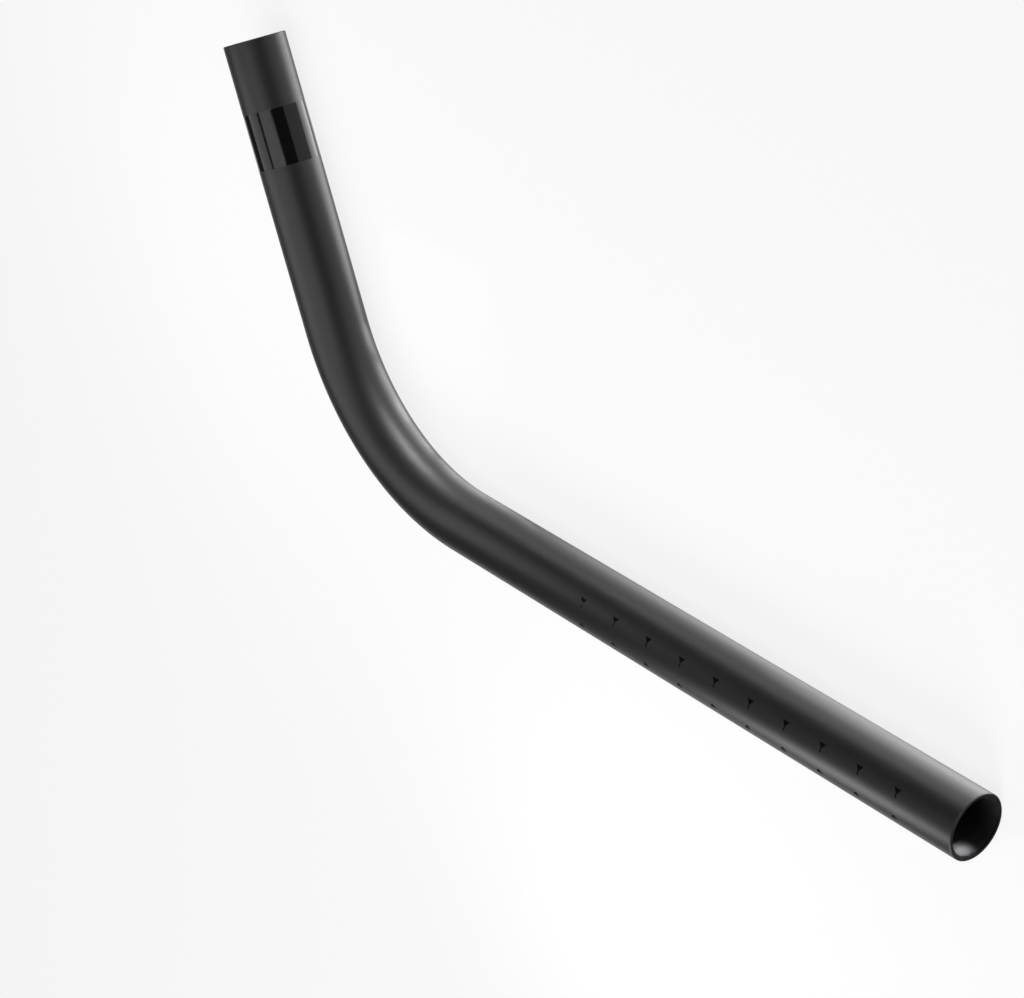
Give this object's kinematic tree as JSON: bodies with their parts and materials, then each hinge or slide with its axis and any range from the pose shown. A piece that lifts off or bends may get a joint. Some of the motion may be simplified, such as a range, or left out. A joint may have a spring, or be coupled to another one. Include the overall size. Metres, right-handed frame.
{
  "type": "aero handlebar extension",
  "caption": "Bent round tube for a time-trial handlebar: a long straight run that slides in a clamp, an upturned grip run, and a bore open right through for a plug, lever or cable.",
  "frame": {"origin": "centre of the rear mouth, on the axis of the clamp run", "axes": "+X along the clamp run from its rear mouth towards the bend; the bend turns towards -Y; +Z square to the plane of the bend, up as the tube lies on its side"},
  "size_m": [0.3614, 0.1561, 0.0222],
  "materials": {
    "matt_black_anodised": "satin",
    "gloss_black_print": "gloss"
  },
  "bodies": {
    "root": {"extension_tube": "matt_black_anodised"}
  },
  "joints": []
}
